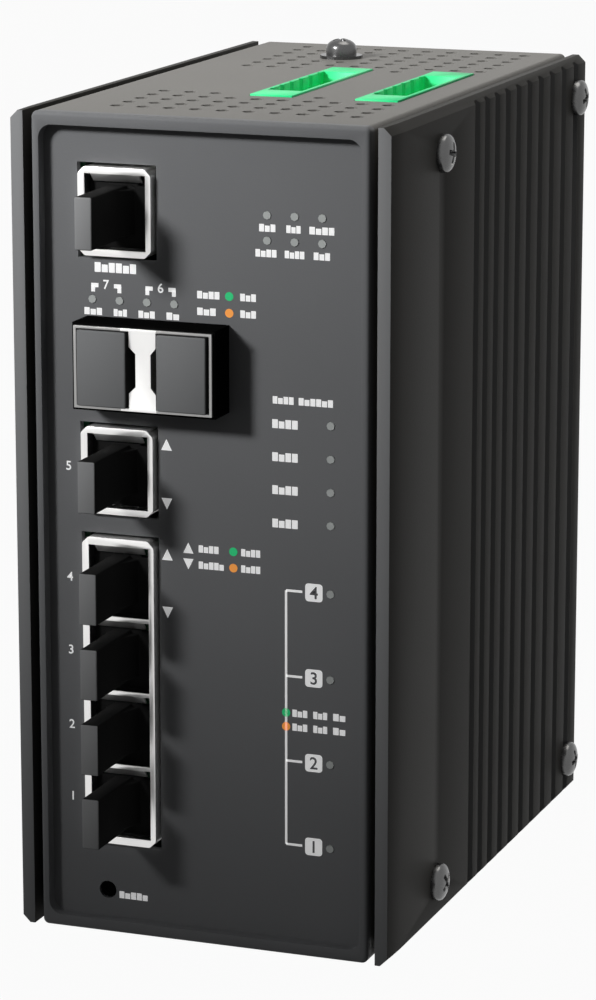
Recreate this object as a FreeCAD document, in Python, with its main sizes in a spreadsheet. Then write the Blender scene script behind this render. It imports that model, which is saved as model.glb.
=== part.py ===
"""DIN rail ethernet switch: a tall steel chassis between two fluted heat sinks, with plugged
network ports in front, two terminal headers in the top and a rail clip behind.

Millimetres. +Z is up and -Y is the front. The origin is the middle of the enclosure's underside.
Each size is written once, in the sheet below. Formulas name those sizes, or the worked-out ones.
"""

import FreeCAD, Part, Sketcher
import math
import os
import re

SIZES = {
    # enclosure
    "case_width": 72.4,
    "case_depth": 117.0,
    "case_height": 152.0,
    "sheet_metal": 1.2,
    "bend_radius": 1.1,
    "frame_depth": 2.4,
    "frame_side": 1.45,
    "frame_end": 2.3,
    "window_radius": 2.5,
    "front_thickness": 1.5,
    "side_flange": 14.0,
    "edge_flange": 12.0,
    # heat sinks
    "sink_plate": 2.7,
    "sink_slot": 1.5,
    "sink_round": 1.4,
    "bevel_run": 6.0,
    "bevel_drop": 0.3,
    "flute_count": 10,
    "flute_start": 47.3,
    "flute_step": 5.8,
    "flute_growth": 0.135,
    "flute_mouth": 2.9,
    "flute_floor": 1.3,
    "flute_depth": 0.6,
    "rail_end_gap": 3.0,
    "rail_front_start": 6.0,
    "rail_front_length": 29.0,
    "rail_rear_length": 13.0,
    "pad_length": 40.0,
    "pad_place": 2.0,
    # side screws
    "screw_from_front": 27.0,
    "screw_from_rear": 6.0,
    "screw_from_end": 7.8,
    "side_head_radius": 3.5,
    "side_head_height": 2.2,
    "side_shank_radius": 1.7,
    "side_shank_past": 1.4,
    "screw_play": 0.2,
    "hidden_sides": 8,
    "head_sides": 12,
    "round_sides": 16,
    # vents
    "vent_across": 2.3,
    "vent_middle": 2.5,
    "vent_pitch": 5.08,
    "vent_row_pitch": 5.66,
    "vent_columns": 10,
    "vent_rows_front": 5,
    "vent_rows_rear": 7,
    "vent_front_edge": 12.0,
    "vent_rear_edge": 6.0,
    "slot_pitch": 6.0,
    "slot_length": 16.0,
    "slot_width": 2.4,
    "slot_columns": 7,
    # rj45 jacks
    "jack_from_side": 14.3,
    "jack_width": 14.0,
    "jack_height": 16.0,
    "jack_corner": 1.2,
    "jack_proud": 1.3,
    "jack_gap": 0.6,
    "shell_wall": 0.4,
    "rim_board_side": 1.3,
    "rim_latch_side": 1.0,
    "rim_end": 1.2,
    "divider": 0.8,
    "port_pitch": 13.97,
    "console_from_top": 17.6,
    "share_below_gang": 5.9653,
    "share_above_gang": 4.445,
    "share_above_single": 4.7,
    "share_above_cage": 11.5797,
    "console_depth": 21.3,
    "magnetic_depth": 33.0,
    "insert_back": 4.5,
    "mouth_height": 11.6,
    "mouth_width": 7.2,
    "latch_height": 6.2,
    "mouth_depth": 14.0,
    "mouth_floor": 1.8,
    "contact_count": 8,
    "contact_pitch": 1.02,
    "contact_width": 0.44,
    "contact_height": 0.3,
    "tongue_thickness": 0.3,
    "tongue_inset": 1.15,
    "tongue_depth": 1.5,
    "tongue_drop": 1.5,
    "lamp_height": 2.2,
    "lamp_thickness": 0.8,
    # dust plugs of the jacks
    "plug_play": 0.15,
    "plug_inset": 2.0,
    "plug_flange": 1.4,
    "flange_notch": 2.0,
    "plug_depth": 12.5,
    "tab_reach": 15.2,
    "tab_width": 3.3,
    "tab_height": 9.4,
    "tab_web": 1.6,
    "tab_web_length": 5.5,
    "tab_web_inset": 0.6,
    # sfp cage and its plugs
    "cage_board_gap": 1.5,
    "cage_width": 26.4,
    "cage_height": 14.9,
    "cage_wall": 0.5,
    "cage_reach": 7.4,
    "cage_depth": 49.5,
    "cage_bay": 10.1,
    "cage_bay_depth": 44.0,
    "cage_notch_height": 6.0,
    "cage_notch_left": 1.3,
    "cage_notch_right": 1.0,
    "cage_notch_slant": 1.2,
    "cage_pin": 1.2,
    "gasket": 0.45,
    "gasket_setback": 0.6,
    "cage_plug_play": 0.08,
    "cage_plug_gap": 0.35,
    "cage_plug_proud": 0.8,
    "cage_plug_depth": 26.0,
    "socket_depth": 10.0,
    "socket_slit": 1.2,
    "socket_slit_depth": 6.0,
    "socket_slit_height": 9.0,
    # status lamps
    "pipe_radius": 0.75,
    "pipe_play": 0.05,
    "pipe_proud": 0.15,
    "lamp_board_gap": 2.0,
    "status_x": 12.1,
    "status_from_top": 16.7,
    "status_pitch_x": 5.15,
    "status_pitch_z": 4.5,
    "usage_from_side": 6.75,
    "usage_from_top": 53.6,
    "usage_pitch": 6.03,
    "feed_low_z": 20.3,
    "feed_pitch": 15.83,
    "bay_lamp_from_board": 2.1,
    "bay_lamp_place": 0.305,
    "bay_lamp_pitch": 5.27,
    # reset button
    "reset_from_board": 3.8,
    "reset_z": 7.4,
    "reset_hole_radius": 1.7,
    "reset_pin_radius": 1.4,
    "reset_pin_play": 0.05,
    "reset_setback": 0.2,
    "reset_travel": 0.5,
    "reset_bore_depth": 3.0,
    "reset_switch_gap": 2.0,
    "reset_switch_size": 7.0,
    "reset_switch_depth": 4.6,
    # boards
    "board": 1.6,
    "board_end_gap": 2.0,
    "board_front_gap": 1.2,
    "board_rear_gap": 9.0,
    "power_board_from_side": 5.2,
    "power_board_front": 28.0,
    "power_board_rear_gap": 4.0,
    "header_board_drop": 12.0,
    "header_board_gap": 1.0,
    "header_board_rear": 4.0,
    "header_board_side_gap": 2.0,
    "header_post_spread": 12.0,
    "lamp_margin": 4.0,
    "lamp_board_margin": 6.0,
    "lamp_wing_from": 0.1,
    "lamp_wing_to": 0.6,
    "lamp_board_side_gap": 2.8,
    "spacer_inset": 6.0,
    "spacer_from_top": 36.0,
    "power_post_shift": 3.0,
    "power_post_rise": 10.0,
    "post_radius": 2.9,
    "post_bore": 1.5,
    "post_inset": 6.0,
    "small_head_radius": 2.6,
    "small_head_height": 1.8,
    # terminal headers
    "header_width": 8.2,
    "header_proud": 0.3,
    "header_wall": 0.8,
    "header_floor": 3.0,
    "header_end": 7.0,
    "header_play": 0.2,
    "header_y": -2.8,
    "power_from_side": 9.4,
    "header_spacing": 20.4,
    "cavity_margin": 2.3,
    "header_post_bore": 6.0,
    "header_screw_length": 5.0,
    "pin_pitch": 5.08,
    "pin_count": 6,
    "pin_side": 1.0,
    "pin_below_rim": 4.7,
    "key_radius": 1.2,
    "key_depth": 0.5,
    # ground screw
    "ground_x": -7.7,
    "ground_from_rear": 21.5,
    "ground_head_radius": 3.0,
    "ground_head_height": 3.2,
    "ground_shank_radius": 2.0,
    "ground_shank_length": 7.0,
    "washer_radius": 4.2,
    "washer_thickness": 0.6,
    # rail clip
    "clip_width": 45.0,
    "clip_plate": 1.5,
    "clip_below_rail": 32.0,
    "clip_above_rail": 34.0,
    "rail_height": 35.0,
    "rail_above_middle": 4.0,
    "rail_lip": 1.6,
    "hook_wall": 1.5,
    "hook_length": 10.0,
    "hook_edge": 2.5,
    "spring_room": 3.5,
    "upper_overlap": 2.0,
    "lower_overlap": 1.8,
    "spring_thickness": 0.5,
    "spring_width": 1.2,
    "spring_bow": 2.4,
    "spring_flat": 6.0,
    "clip_screw_x": 14.0,
    "clip_screw_inset": 6.5,
    # parts on the boards
    "chip_side": 24.0,
    "chip_thickness": 1.6,
    "chip_below_middle": 2.0,
    "block_side": 36.0,
    "transistor_thickness": 3.2,
    "transistor_side": 15.0,
    "transistor_count": 3,
    "transistor_pitch": 22.0,
    "capacitor_radius": 5.0,
    "capacitor_length": 20.0,
    "capacitor_count": 4,
    "capacitor_pitch": 12.0,
    "capacitor_start": 8.0,
    "capacitor_from_rear": 30.5,
    "inductor_radius": 7.0,
    "inductor_bore": 3.0,
    "inductor_thickness": 5.0,
    "inductor_count": 4,
    "inductor_pitch": 20.0,
    "inductor_start": 26.0,
    "inductor_from_front": 64.5,
    "magnetic_width": 12.0,
    "magnetic_height": 6.0,
    "magnetic_gap": 3.0,
    "link_behind_header": 10.0,
    "link_length": 30.0,
    "link_width": 8.0,
    "link_height": 6.0,
}

WORKED_OUT = {
    "front": "-case_depth / 2",
    "rear": "case_depth / 2",
    "side": "case_width / 2",
    "chassis_side": "case_width / 2 - sink_plate - sink_slot",
    "inner_side": "chassis_side - sheet_metal",
    "ceiling": "case_height - sheet_metal",
    "panel_face": "front + frame_depth",
    "panel_back": "panel_face + front_thickness",
    "jack_x": "jack_from_side - inner_side",
    "board_face": "jack_x - jack_width / 2",
    "board_back": "board_face - board",
    "board_low": "sheet_metal + board_end_gap",
    "board_high": "ceiling - board_end_gap",
    "board_front": "panel_back + board_front_gap",
    "console_z": "case_height - console_from_top",
    "reset_top": "reset_z + reset_switch_size / 2",
    "gang_height": "jack_height + 3 * port_pitch",
    "front_room": "console_z - 3 * jack_height / 2 - reset_top - gang_height - cage_height",
    "shares": "(share_below_gang + share_above_gang + share_above_single + share_above_cage)",
    "gang_z": "reset_top + front_room * share_below_gang / shares + gang_height / 2",
    "single_port_z": "gang_z + gang_height / 2 + front_room * share_above_gang / shares + jack_height / 2",
    "cage_z": "single_port_z + (jack_height + cage_height) / 2 + front_room * share_above_single / shares",
    "board_rear": "rear - sheet_metal - board_rear_gap",
    "power_rear": "rear - sheet_metal - power_board_rear_gap",
    "power_back": "inner_side - power_board_from_side",
    "power_board_x": "power_back - board",
    "header_top": "case_height + header_proud",
    "header_base": "case_height - header_board_drop",
    "header_board_low": "header_base - board",
    "header_half": "pin_count * pin_pitch / 2 + header_end",
    "cavity_half": "(pin_count - 1) * pin_pitch / 2 + cavity_margin",
    "jack_front": "panel_face - jack_proud",
    "jack_right": "board_face + jack_width",
    "cage_front": "panel_face - cage_reach",
    "cage_left": "board_face + cage_board_gap",
    "cage_right": "cage_left + cage_width",
    "lamp_board_face": "panel_back + lamp_board_gap",
    "status_z": "case_height - status_from_top",
    "usage_z": "case_height - usage_from_top",
    "usage_x": "inner_side - usage_from_side",
    "cage_top": "cage_z + cage_height / 2",
    "bay_room": "front_room * share_above_cage / shares",
    "bay_lamp_x": "board_face + bay_lamp_from_board",
    "bay_lamp_z": "cage_top + bay_room * bay_lamp_place",
    "lamp_board_left": "status_x - lamp_margin",
    "lamp_board_right": "inner_side - lamp_board_side_gap",
    "lamp_board_low": "feed_low_z - lamp_board_margin",
    "lamp_board_high": "status_z + lamp_board_margin",
    "screw_front_y": "front + screw_from_front",
    "screw_rear_y": "rear - screw_from_rear",
    "screw_low_z": "screw_from_end",
    "screw_high_z": "case_height - screw_from_end",
    "ground_y": "rear - ground_from_rear",
    "clip_face": "rear + clip_plate",
    "hook_back": "clip_face + rail_lip + hook_wall",
    "rail_centre": "case_height / 2 + rail_above_middle",
    "clip_low": "rail_centre - clip_below_rail",
    "clip_high": "rail_centre + clip_above_rail",
    "chip_z": "case_height / 2 - chip_below_middle",
    "rail_low": "rail_centre - rail_height / 2",
    "rail_high": "rail_centre + rail_height / 2",
    "reset_x": "board_face + reset_from_board",
    "reset_face": "panel_back + reset_switch_gap",
    "power_x": "inner_side - power_from_side",
    "alarm_x": "power_x - header_spacing",
    "window_bottom": "side_flange",
    "window_top": "case_height - side_flange",
}

doc = FreeCAD.newDocument("ethernet_switch")
sizes = doc.addObject("Spreadsheet::Sheet", "sizes")
for row, (alias, number) in enumerate(SIZES.items(), start=1):
    sizes.set(f"A{row}", alias.replace("_", " "))
    sizes.set(f"B{row}", str(number))
    sizes.setAlias(f"B{row}", alias)
doc.recompute()

NAME = re.compile(r"[a-z][a-z0-9_]*")
nodes = {}


def formula(text):
    """The expression that a formula stands for, with each size's name led back to the sheet."""

    def swap(found):
        word = found.group()
        if word in SIZES:
            return "sizes." + word
        if word in WORKED_OUT:
            return "(" + formula(WORKED_OUT[word]) + ")"
        return word

    return NAME.sub(swap, str(text))


def size(alias):
    """A size's number, as the sheet holds it."""
    return getattr(sizes, alias)


def count(alias):
    return range(int(size(alias)))


def bind(thing, **properties):
    for name, text in properties.items():
        thing.setExpression(name.replace("__", "."), formula(text))
    return thing


def place(thing, x="0", y="0", z="0"):
    return bind(thing, Placement__Base__x=x, Placement__Base__y=y, Placement__Base__z=z)


def node(name, thing):
    """Names the finished sub-part."""
    thing.Label = name
    nodes[name] = thing
    return thing


def block(x, y, z):
    """A box between three (low, high) pairs of formulas."""
    made = doc.addObject("Part::Box", "block")
    bind(made, Length=f"({x[1]}) - ({x[0]})", Width=f"({y[1]}) - ({y[0]})", Height=f"({z[1]}) - ({z[0]})")
    return place(made, x[0], y[0], z[0])


def around(middle, length):
    """The (low, high) pair of a stretch about its middle."""
    return f"({middle}) - ({length}) / 2", f"({middle}) + ({length}) / 2"


TURNS = {
    "x": FreeCAD.Rotation(FreeCAD.Vector(0, 1, 0), 90),
    "y": FreeCAD.Rotation(FreeCAD.Vector(1, 0, 0), -90),
    "z": FreeCAD.Rotation(),
}


def rod(axis, radius, x, y, z, sides="hidden_sides"):
    """A rod or hole with flat sides. Its axis has a (low, high) pair, the others one formula each."""
    made = doc.addObject("Part::Prism", "rod")
    made.Placement.Rotation = TURNS[axis]
    low, high = {"x": x, "y": y, "z": z}[axis]
    bind(made, Polygon=sides, Circumradius=radius, Height=f"({high}) - ({low})")
    start = {"x": x, "y": y, "z": z, axis: low}
    return place(made, start["x"], start["y"], start["z"])


def together(things, kind="Part::Compound"):
    """Separate solids kept in one shape, or, with Part::MultiFuse, joined into one."""
    made = doc.addObject(kind, "group")
    if kind == "Part::Compound":
        made.Links = things
    else:
        made.Shapes = things
        made.Refine = True
    return made


def fused(*things):
    return together(list(things), "Part::MultiFuse")


def cut(base, *tools):
    made = doc.addObject("Part::Cut", "cut")
    made.Base = base
    made.Tool = tools[0] if len(tools) == 1 else fused(*tools)
    made.Refine = True
    return made


def mirrored(thing):
    """The same piece on the other side of the middle plane."""
    made = doc.addObject("Part::Mirroring", "mirrored")
    made.Source = thing
    made.Normal = FreeCAD.Vector(1, 0, 0)
    return made


# ---- sketched bodies ----


def origin_plane(body, role):
    return next(feature for feature in body.Origin.OriginFeatures if feature.Role == role)


def sketch_of(body, role, outlines, offset="0"):
    """A sketch on one of the body's own planes, of closed outlines whose corners are bound."""
    sketch = body.newObject("Sketcher::SketchObject", "outline")
    sketch.AttachmentSupport = [(origin_plane(body, role), "")]
    sketch.MapMode = "FlatFace"
    bind(sketch, AttachmentOffset__Base__z=offset)
    for corners in outlines:
        first = sketch.GeometryCount
        total = len(corners)
        for index in range(total):
            angle = 2 * math.pi * index / total
            after = 2 * math.pi * (index + 1) / total
            sketch.addGeometry(
                Part.LineSegment(
                    FreeCAD.Vector(math.cos(angle), math.sin(angle), 0),
                    FreeCAD.Vector(math.cos(after), math.sin(after), 0),
                )
            )
        for index in range(total):
            following = first + (index + 1) % total
            sketch.addConstraint(Sketcher.Constraint("Coincident", first + index, 2, following, 1))
        for index, (across, up) in enumerate(corners):
            for kind, text in (("DistanceX", across), ("DistanceY", up)):
                number = sketch.addConstraint(Sketcher.Constraint(kind, -1, 1, first + index, 1, 0.5))
                sketch.setExpression(f"Constraints[{number}]", formula(text))
    return sketch


def padded(body, role, outlines, length, offset="0", backwards=False):
    pad = body.newObject("PartDesign::Pad", "pad")
    pad.Profile = sketch_of(body, role, outlines, offset)
    bind(pad, Length=length)
    pad.Reversed = backwards
    doc.recompute()
    return pad


def edged(body, kind, reach, wanted):
    """Rounds (Fillet) or cuts off (Chamfer) the edges of the body so far that a test picks."""
    base = body.Tip
    names = [f"Edge{n}" for n, edge in enumerate(base.Shape.Edges, start=1) if wanted(edge)]
    made = body.newObject(f"PartDesign::{kind}", kind.lower())
    made.Base = (base, names)
    bind(made, **{"Radius" if kind == "Fillet" else "Size": reach})
    doc.recompute()
    return made


def rectangle(x, z):
    return [(x[0], z[0]), (x[1], z[0]), (x[1], z[1]), (x[0], z[1])]


def clipped(x, z, corner):
    """A rectangle with its corners cut off."""
    (left, right), (low, high) = x, z
    return [
        (f"{left} + {corner}", low),
        (f"{right} - {corner}", low),
        (right, f"{low} + {corner}"),
        (right, f"{high} - {corner}"),
        (f"{right} - {corner}", high),
        (f"{left} + {corner}", high),
        (left, f"{high} - {corner}"),
        (left, f"{low} + {corner}"),
    ]


def runs_along(edge, axis):
    start, end = (vertex.Point for vertex in (edge.Vertexes[0], edge.Vertexes[-1]))
    return abs(abs(getattr(end - start, axis)) - (end - start).Length) < 1e-6


# ---- enclosure ----


def front_frame():
    """The ring that the front panel is seen through."""
    body = doc.addObject("PartDesign::Body", "frame_body")
    window_side = size("case_width") / 2 - size("sink_plate") - size("sink_slot") - size("frame_side")
    outer = rectangle(("-chassis_side", "chassis_side"), ("0", "case_height"))
    window = rectangle(
        ("-chassis_side + frame_side", "chassis_side - frame_side"),
        ("frame_end", "case_height - frame_end"),
    )
    padded(body, "XZ_Plane", [outer, window], "frame_depth", "-(front)", backwards=True)

    def window_corner(edge):
        return runs_along(edge, "y") and abs(abs(edge.CenterOfMass.x) - window_side) < 1e-6

    def outer_corner(edge):
        return runs_along(edge, "y") and abs(edge.CenterOfMass.x) > window_side + size("frame_side") / 2

    edged(body, "Fillet", "window_radius", window_corner)
    edged(body, "Fillet", "bend_radius", outer_corner)
    front_y = -size("case_depth") / 2

    def outer_rim(edge):
        box = edge.BoundBox
        on_front = abs(box.YMin - front_y) < 1e-6 and abs(box.YMax - front_y) < 1e-6
        end = box.ZMax < 1e-6 or box.ZMin > size("case_height") - 1e-6
        return on_front and end and runs_along(edge, "x")

    edged(body, "Fillet", "frame_depth / 3", outer_rim)
    return node("front_frame", body)


def vent_array(rows, first_row_y, step_y, low, high, kept):
    """Small hexagonal holes in straight rows, as one tool."""
    corner = size("vent_across") / math.sqrt(3)
    columns = int(size("vent_columns"))
    tools = []
    for row in range(rows):
        y = first_row_y + row * step_y
        for column in range(columns):
            x = size("vent_middle") + (column - (columns - 1) / 2) * size("vent_pitch")
            if not kept(x, y):
                continue
            ring = [
                FreeCAD.Vector(x + corner * math.sin(a), y + corner * math.cos(a), low)
                for a in (math.pi / 3 * n for n in range(7))
            ]
            face = Part.Face(Part.makePolygon(ring))
            tools.append(face.extrude(FreeCAD.Vector(0, 0, high - low)))
    made = doc.addObject("Part::Feature", "vent_tools")
    made.Shape = Part.makeCompound(tools)
    return made


def top_vents():
    half = size("case_depth") / 2
    step = size("vent_row_pitch")
    low = size("case_height") - 2 * size("sheet_metal")
    high = size("case_height") + size("sheet_metal")
    ground_y = half - size("ground_from_rear")
    room = size("washer_radius") + size("vent_across")
    inner_side = size("case_width") / 2 - size("sink_plate") - size("sink_slot") - size("sheet_metal")
    power_x = inner_side - size("power_from_side")
    near_x = size("header_width") / 2 + size("vent_across")
    near_y = size("pin_count") * size("pin_pitch") / 2 + size("header_end") + size("vent_across")

    def kept(x, y):
        if math.hypot(x - size("ground_x"), y - ground_y) < room:
            return False
        beside = all(abs(x - middle) > near_x for middle in (power_x, power_x - size("header_spacing")))
        return beside or abs(y - size("header_y")) > near_y

    front_row = size("vent_front_edge") - half
    rear_row = half - size("vent_rear_edge")
    return [
        vent_array(int(size("vent_rows_front")), front_row, step, low, high, kept),
        vent_array(int(size("vent_rows_rear")), rear_row, -step, low, high, kept),
    ]


def bottom_slots():
    """Two rows of long slots in the underside."""
    slots = []
    for row in ("-1", "1"):
        for column in count("slot_columns"):
            x = around(f"({column} - (slot_columns - 1) / 2) * slot_pitch", "slot_width")
            y = around(f"{row} * (case_depth / 4)", "slot_length")
            slots.append(block(x, y, ("-sheet_metal", "2 * sheet_metal")))
    return slots


def chassis():
    """A folded shell: top, underside and rear in one, with flanges at its open sides."""
    body = doc.addObject("PartDesign::Body", "shell_body")
    outer = rectangle(("-chassis_side", "chassis_side"), ("0", "case_height"))
    padded(body, "XZ_Plane", [outer], "case_depth - frame_depth", "-(panel_face)", backwards=True)
    edged(body, "Fillet", "bend_radius", lambda edge: runs_along(edge, "y"))
    inside = block(
        ("-inner_side", "inner_side"),
        ("panel_face - sheet_metal", "rear - sheet_metal"),
        ("sheet_metal", "ceiling"),
    )
    side_window = block(
        ("-chassis_side - 1", "chassis_side + 1"),
        ("panel_face + edge_flange", "rear - edge_flange"),
        ("window_bottom", "window_top"),
    )
    tools = [inside, side_window]
    for x in ("alarm_x", "power_x"):
        tools.append(
            block(
                around(x, "header_width + 2 * header_play"),
                around("header_y", "2 * (header_half + header_play)"),
                ("ceiling - 1", "case_height + 1"),
            )
        )
    for y in ("screw_front_y", "screw_rear_y"):
        for z in ("screw_low_z", "screw_high_z"):
            tools.append(rod("x", "side_shank_radius", ("-chassis_side - 1", "chassis_side + 1"), y, z))
    tools.append(rod("z", "ground_shank_radius", "ground_x", "ground_y", ("ceiling - 1", "case_height + 1")))
    for x, z in clip_screw_places():
        tools.append(rod("y", "post_bore", x, ("rear - 2 * sheet_metal", "rear + 1"), z))
    for _, y, z in side_posts("-1"):
        tools.append(rod("x", "post_bore", ("-chassis_side - 1", "-inner_side + 1"), y, z))
    for _, y, z in side_posts("1"):
        tools.append(rod("x", "post_bore", ("inner_side - 1", "chassis_side + 1"), y, z))
    plain = cut(body, *tools, *bottom_slots())
    vented = plain
    for array in top_vents():
        vented = cut(vented, array)
    return node("chassis_shell", vented)


def front_panel():
    """The recessed plate with the port windows, the lamp holes and the reset hole."""
    plate = block(("-inner_side", "inner_side"), ("panel_face", "panel_back"), ("sheet_metal", "ceiling"))
    through = ("panel_face - 1", "panel_back + 1")
    tools = [rod("y", "reset_hole_radius", "reset_x", through, "reset_z", "round_sides")]
    for middle, ports in jack_rows():
        tools.append(
            block(
                around("jack_x", "jack_width + 2 * jack_gap"),
                through,
                around(middle, f"jack_height + {ports - 1} * port_pitch + 2 * jack_gap"),
            )
        )
    tools.append(block(("cage_left", "cage_right"), through, around("cage_z", "cage_height")))
    for x, z in lamp_places():
        tools.append(rod("y", "pipe_radius + pipe_play", x, through, z))
    return node("front_panel", cut(plate, *tools))


def heat_sink():
    """An extruded side plate with flutes outside, and rails inside that seat on the chassis."""
    body = doc.addObject("PartDesign::Body", "sink_body")
    profile = [
        ("side - sink_plate", "front"),
        ("side - bevel_drop", "front"),
        ("side", "front + bevel_run"),
        ("side", "rear"),
        ("side - sink_plate", "rear"),
    ]
    padded(body, "XY_Plane", [profile], "case_height")
    inner_x = size("case_width") / 2 - size("sink_plate")

    def outer_end(edge):
        box = edge.BoundBox
        level = abs(box.ZMax - box.ZMin) < 1e-6
        return level and edge.Length > size("bevel_run") / 2 and box.XMin > inner_x + 1e-3

    edged(body, "Chamfer", "sink_round", outer_end)
    upright = ("rail_end_gap", "case_height - rail_end_gap")
    reach = ("chassis_side", "side - sink_plate")
    rails = [
        block(reach, ("front + rail_front_start", "front + rail_front_start + rail_front_length"), upright),
        block(reach, around("pad_place", "pad_length"), upright),
        block(reach, ("rear - rail_rear_length", "rear"), upright),
    ]
    flutes = doc.addObject("PartDesign::Body", "flutes_body")
    outlines = []
    for n in count("flute_count"):
        y = f"front + flute_start + {n} * flute_step + {n * n} * flute_growth"
        outlines.append(
            [
                ("side + 1", f"{y} - flute_mouth / 2"),
                ("side", f"{y} - flute_mouth / 2"),
                ("side - flute_depth", f"{y} - flute_floor / 2"),
                ("side - flute_depth", f"{y} + flute_floor / 2"),
                ("side", f"{y} + flute_mouth / 2"),
                ("side + 1", f"{y} + flute_mouth / 2"),
            ]
        )
    padded(flutes, "XY_Plane", outlines, "case_height + 2", "-1")
    holes = [
        rod("x", "side_shank_radius + screw_play", ("chassis_side - 1", "side + 1"), y, z)
        for y in ("screw_front_y", "screw_rear_y")
        for z in ("screw_low_z", "screw_high_z")
    ]
    right = node("right_heat_sink", cut(fused(body, *rails), flutes, *holes))
    node("left_heat_sink", mirrored(right))


def flat_head(axis, radius, height, under, outward, x, y, z):
    """A screw's head, from its underside outwards along an axis."""
    reach = (under, f"{under} + {height}") if outward > 0 else (f"{under} - {height}", under)
    spot = {"x": x, "y": y, "z": z, axis: reach}
    return rod(axis, radius, spot["x"], spot["y"], spot["z"], "head_sides")


def domed_head(axis, radius, height, under, x, y, z):
    """A head with a smaller step on top."""
    step = f"{under} + 0.6 * {height}"
    lower = flat_head(axis, radius, f"0.6 * {height}", under, 1, x, y, z)
    return fused(lower, flat_head(axis, f"0.8 * {radius}", f"0.4 * {height}", step, 1, x, y, z))


def side_screws():
    screws = []
    for y in ("screw_front_y", "screw_rear_y"):
        for z in ("screw_low_z", "screw_high_z"):
            head = domed_head("x", "side_head_radius", "side_head_height", "side", None, y, z)
            tip = "inner_side - side_shank_past"
            screws.append(fused(head, rod("x", "side_shank_radius", (tip, "side"), y, z)))
    right = node("right_sink_screws", together(screws))
    node("left_sink_screws", mirrored(right))


def ground_terminal():
    on_top = "case_height + washer_thickness"
    ring = rod("z", "washer_radius", "ground_x", "ground_y", ("case_height", on_top), "round_sides")
    hole = rod("z", "ground_shank_radius", "ground_x", "ground_y", ("case_height - 1", f"{on_top} + 1"))
    node("ground_washer", cut(ring, hole))
    head = domed_head("z", "ground_head_radius", "ground_head_height", on_top, "ground_x", "ground_y", None)
    shank = rod(
        "z",
        "ground_shank_radius",
        "ground_x",
        "ground_y",
        (f"{on_top} - ground_shank_length", on_top),
    )
    node("ground_screw", fused(head, shank))


# ---- rail clip ----


def clip_screw_places():
    return [
        (f"{sign} * clip_screw_x", z)
        for sign in ("-1", "1")
        for z in ("clip_low + clip_screw_inset", "clip_high - clip_screw_inset")
    ]


def rail_clip():
    """A formed bracket with two upper and two lower hooks, and the leaf that presses on the rail."""
    pieces = [block(around("0", "clip_width"), ("rear", "clip_face"), ("clip_low", "clip_high"))]
    behind = ("clip_face + rail_lip", "hook_back")
    top_inside = "rail_high + spring_room"
    for sign in (-1, 1):
        near = "clip_width / 2 - hook_edge - hook_length"
        far = "clip_width / 2 - hook_edge"
        x = (near, far) if sign > 0 else (f"-({far})", f"-({near})")
        arm = ("clip_face", "hook_back")
        pieces += [
            block(x, arm, (top_inside, f"{top_inside} + hook_wall")),
            block(x, behind, ("rail_high - upper_overlap", top_inside)),
            block(x, arm, ("rail_low - hook_wall", "rail_low")),
            block(x, behind, ("rail_low", "rail_low + lower_overlap")),
        ]
    holes = [rod("y", "post_bore", x, ("rear - 1", "clip_face + 1"), z) for x, z in clip_screw_places()]
    node("rail_bracket", cut(fused(*pieces), *holes))
    screws = [
        fused(
            flat_head("y", "small_head_radius", "small_head_height", "clip_face", 1, x, None, z),
            rod("y", "post_bore", x, ("rear - 2 * sheet_metal", "clip_face"), z),
        )
        for x, z in clip_screw_places()
    ]
    node("rail_bracket_screws", together(screws))
    leaf = doc.addObject("PartDesign::Body", "leaf_body")
    span = "clip_width / 2 - hook_edge"
    knee = "clip_width / 2 - hook_edge - hook_length"
    upper = [(f"-({span})", "0"), (f"-({knee})", "0"), ("-spring_flat / 2", "-spring_bow")]
    upper += [("spring_flat / 2", "-spring_bow"), (knee, "0"), (span, "0")]
    outline = [(x, f"{top_inside} + ({z})") for x, z in upper]
    outline += [(x, f"{top_inside} - spring_thickness + ({z})") for x, z in reversed(upper)]
    middle = "(clip_face + rail_lip / 2)"
    padded(leaf, "XZ_Plane", [outline], "spring_width", f"-({middle} - spring_width / 2)", backwards=True)
    node("rail_spring", leaf)


# ---- jacks ----


def jack_rows():
    """(middle height, number of ports) of each jack."""
    return (("console_z", 1), ("single_port_z", 1), ("gang_z", 4))


def port_heights(middle, ports):
    return [f"{middle} + ({(ports - 1) / 2 - n}) * port_pitch" for n in range(ports)]


def jack(prefix, middle, ports, depth):
    """A shielded jack on its side: steel shell, black insert with a mouth per port, and contacts."""
    height = f"jack_height + {ports - 1} * port_pitch"
    opening = "jack_height - 2 * rim_end" if ports == 1 else "port_pitch - divider"
    back = f"jack_front + {depth}"
    outer = doc.addObject("PartDesign::Body", "jack_body")
    outline = clipped(("board_face", "jack_right"), around(middle, height), "jack_corner")
    padded(outer, "XZ_Plane", [outline], depth, "-(jack_front)", backwards=True)
    hollow = block(
        ("board_face + shell_wall", "jack_right - shell_wall"),
        ("jack_front + shell_wall", f"{back} + 1"),
        around(middle, f"{height} - 2 * shell_wall"),
    )
    mouth_x = ("board_face + rim_board_side", "jack_right - rim_latch_side")
    openings, tongues, mouths, contacts, lamps = [], [], [], [], []
    for z in port_heights(middle, ports):
        openings.append(block(mouth_x, ("jack_front - 1", "jack_front + shell_wall + 1"), around(z, opening)))
        tongues.append(tongue(f"{z} + ({opening}) / 2"))
        mouths += mouth(z)
        contacts += contact_row(z)
        if prefix != "console":
            lamps += corner_lamps(z)
    node(f"{prefix}_jack_shell", fused(cut(outer, hollow, *openings), *tongues))
    insert = block(
        ("board_face + shell_wall", "jack_right - shell_wall"),
        ("jack_front + insert_back", back),
        around(middle, f"{height} - 2 * shell_wall"),
    )
    node(f"{prefix}_jack_insert", cut(insert, *mouths))
    node(f"{prefix}_jack_contacts", together(contacts))
    return lamps


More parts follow.
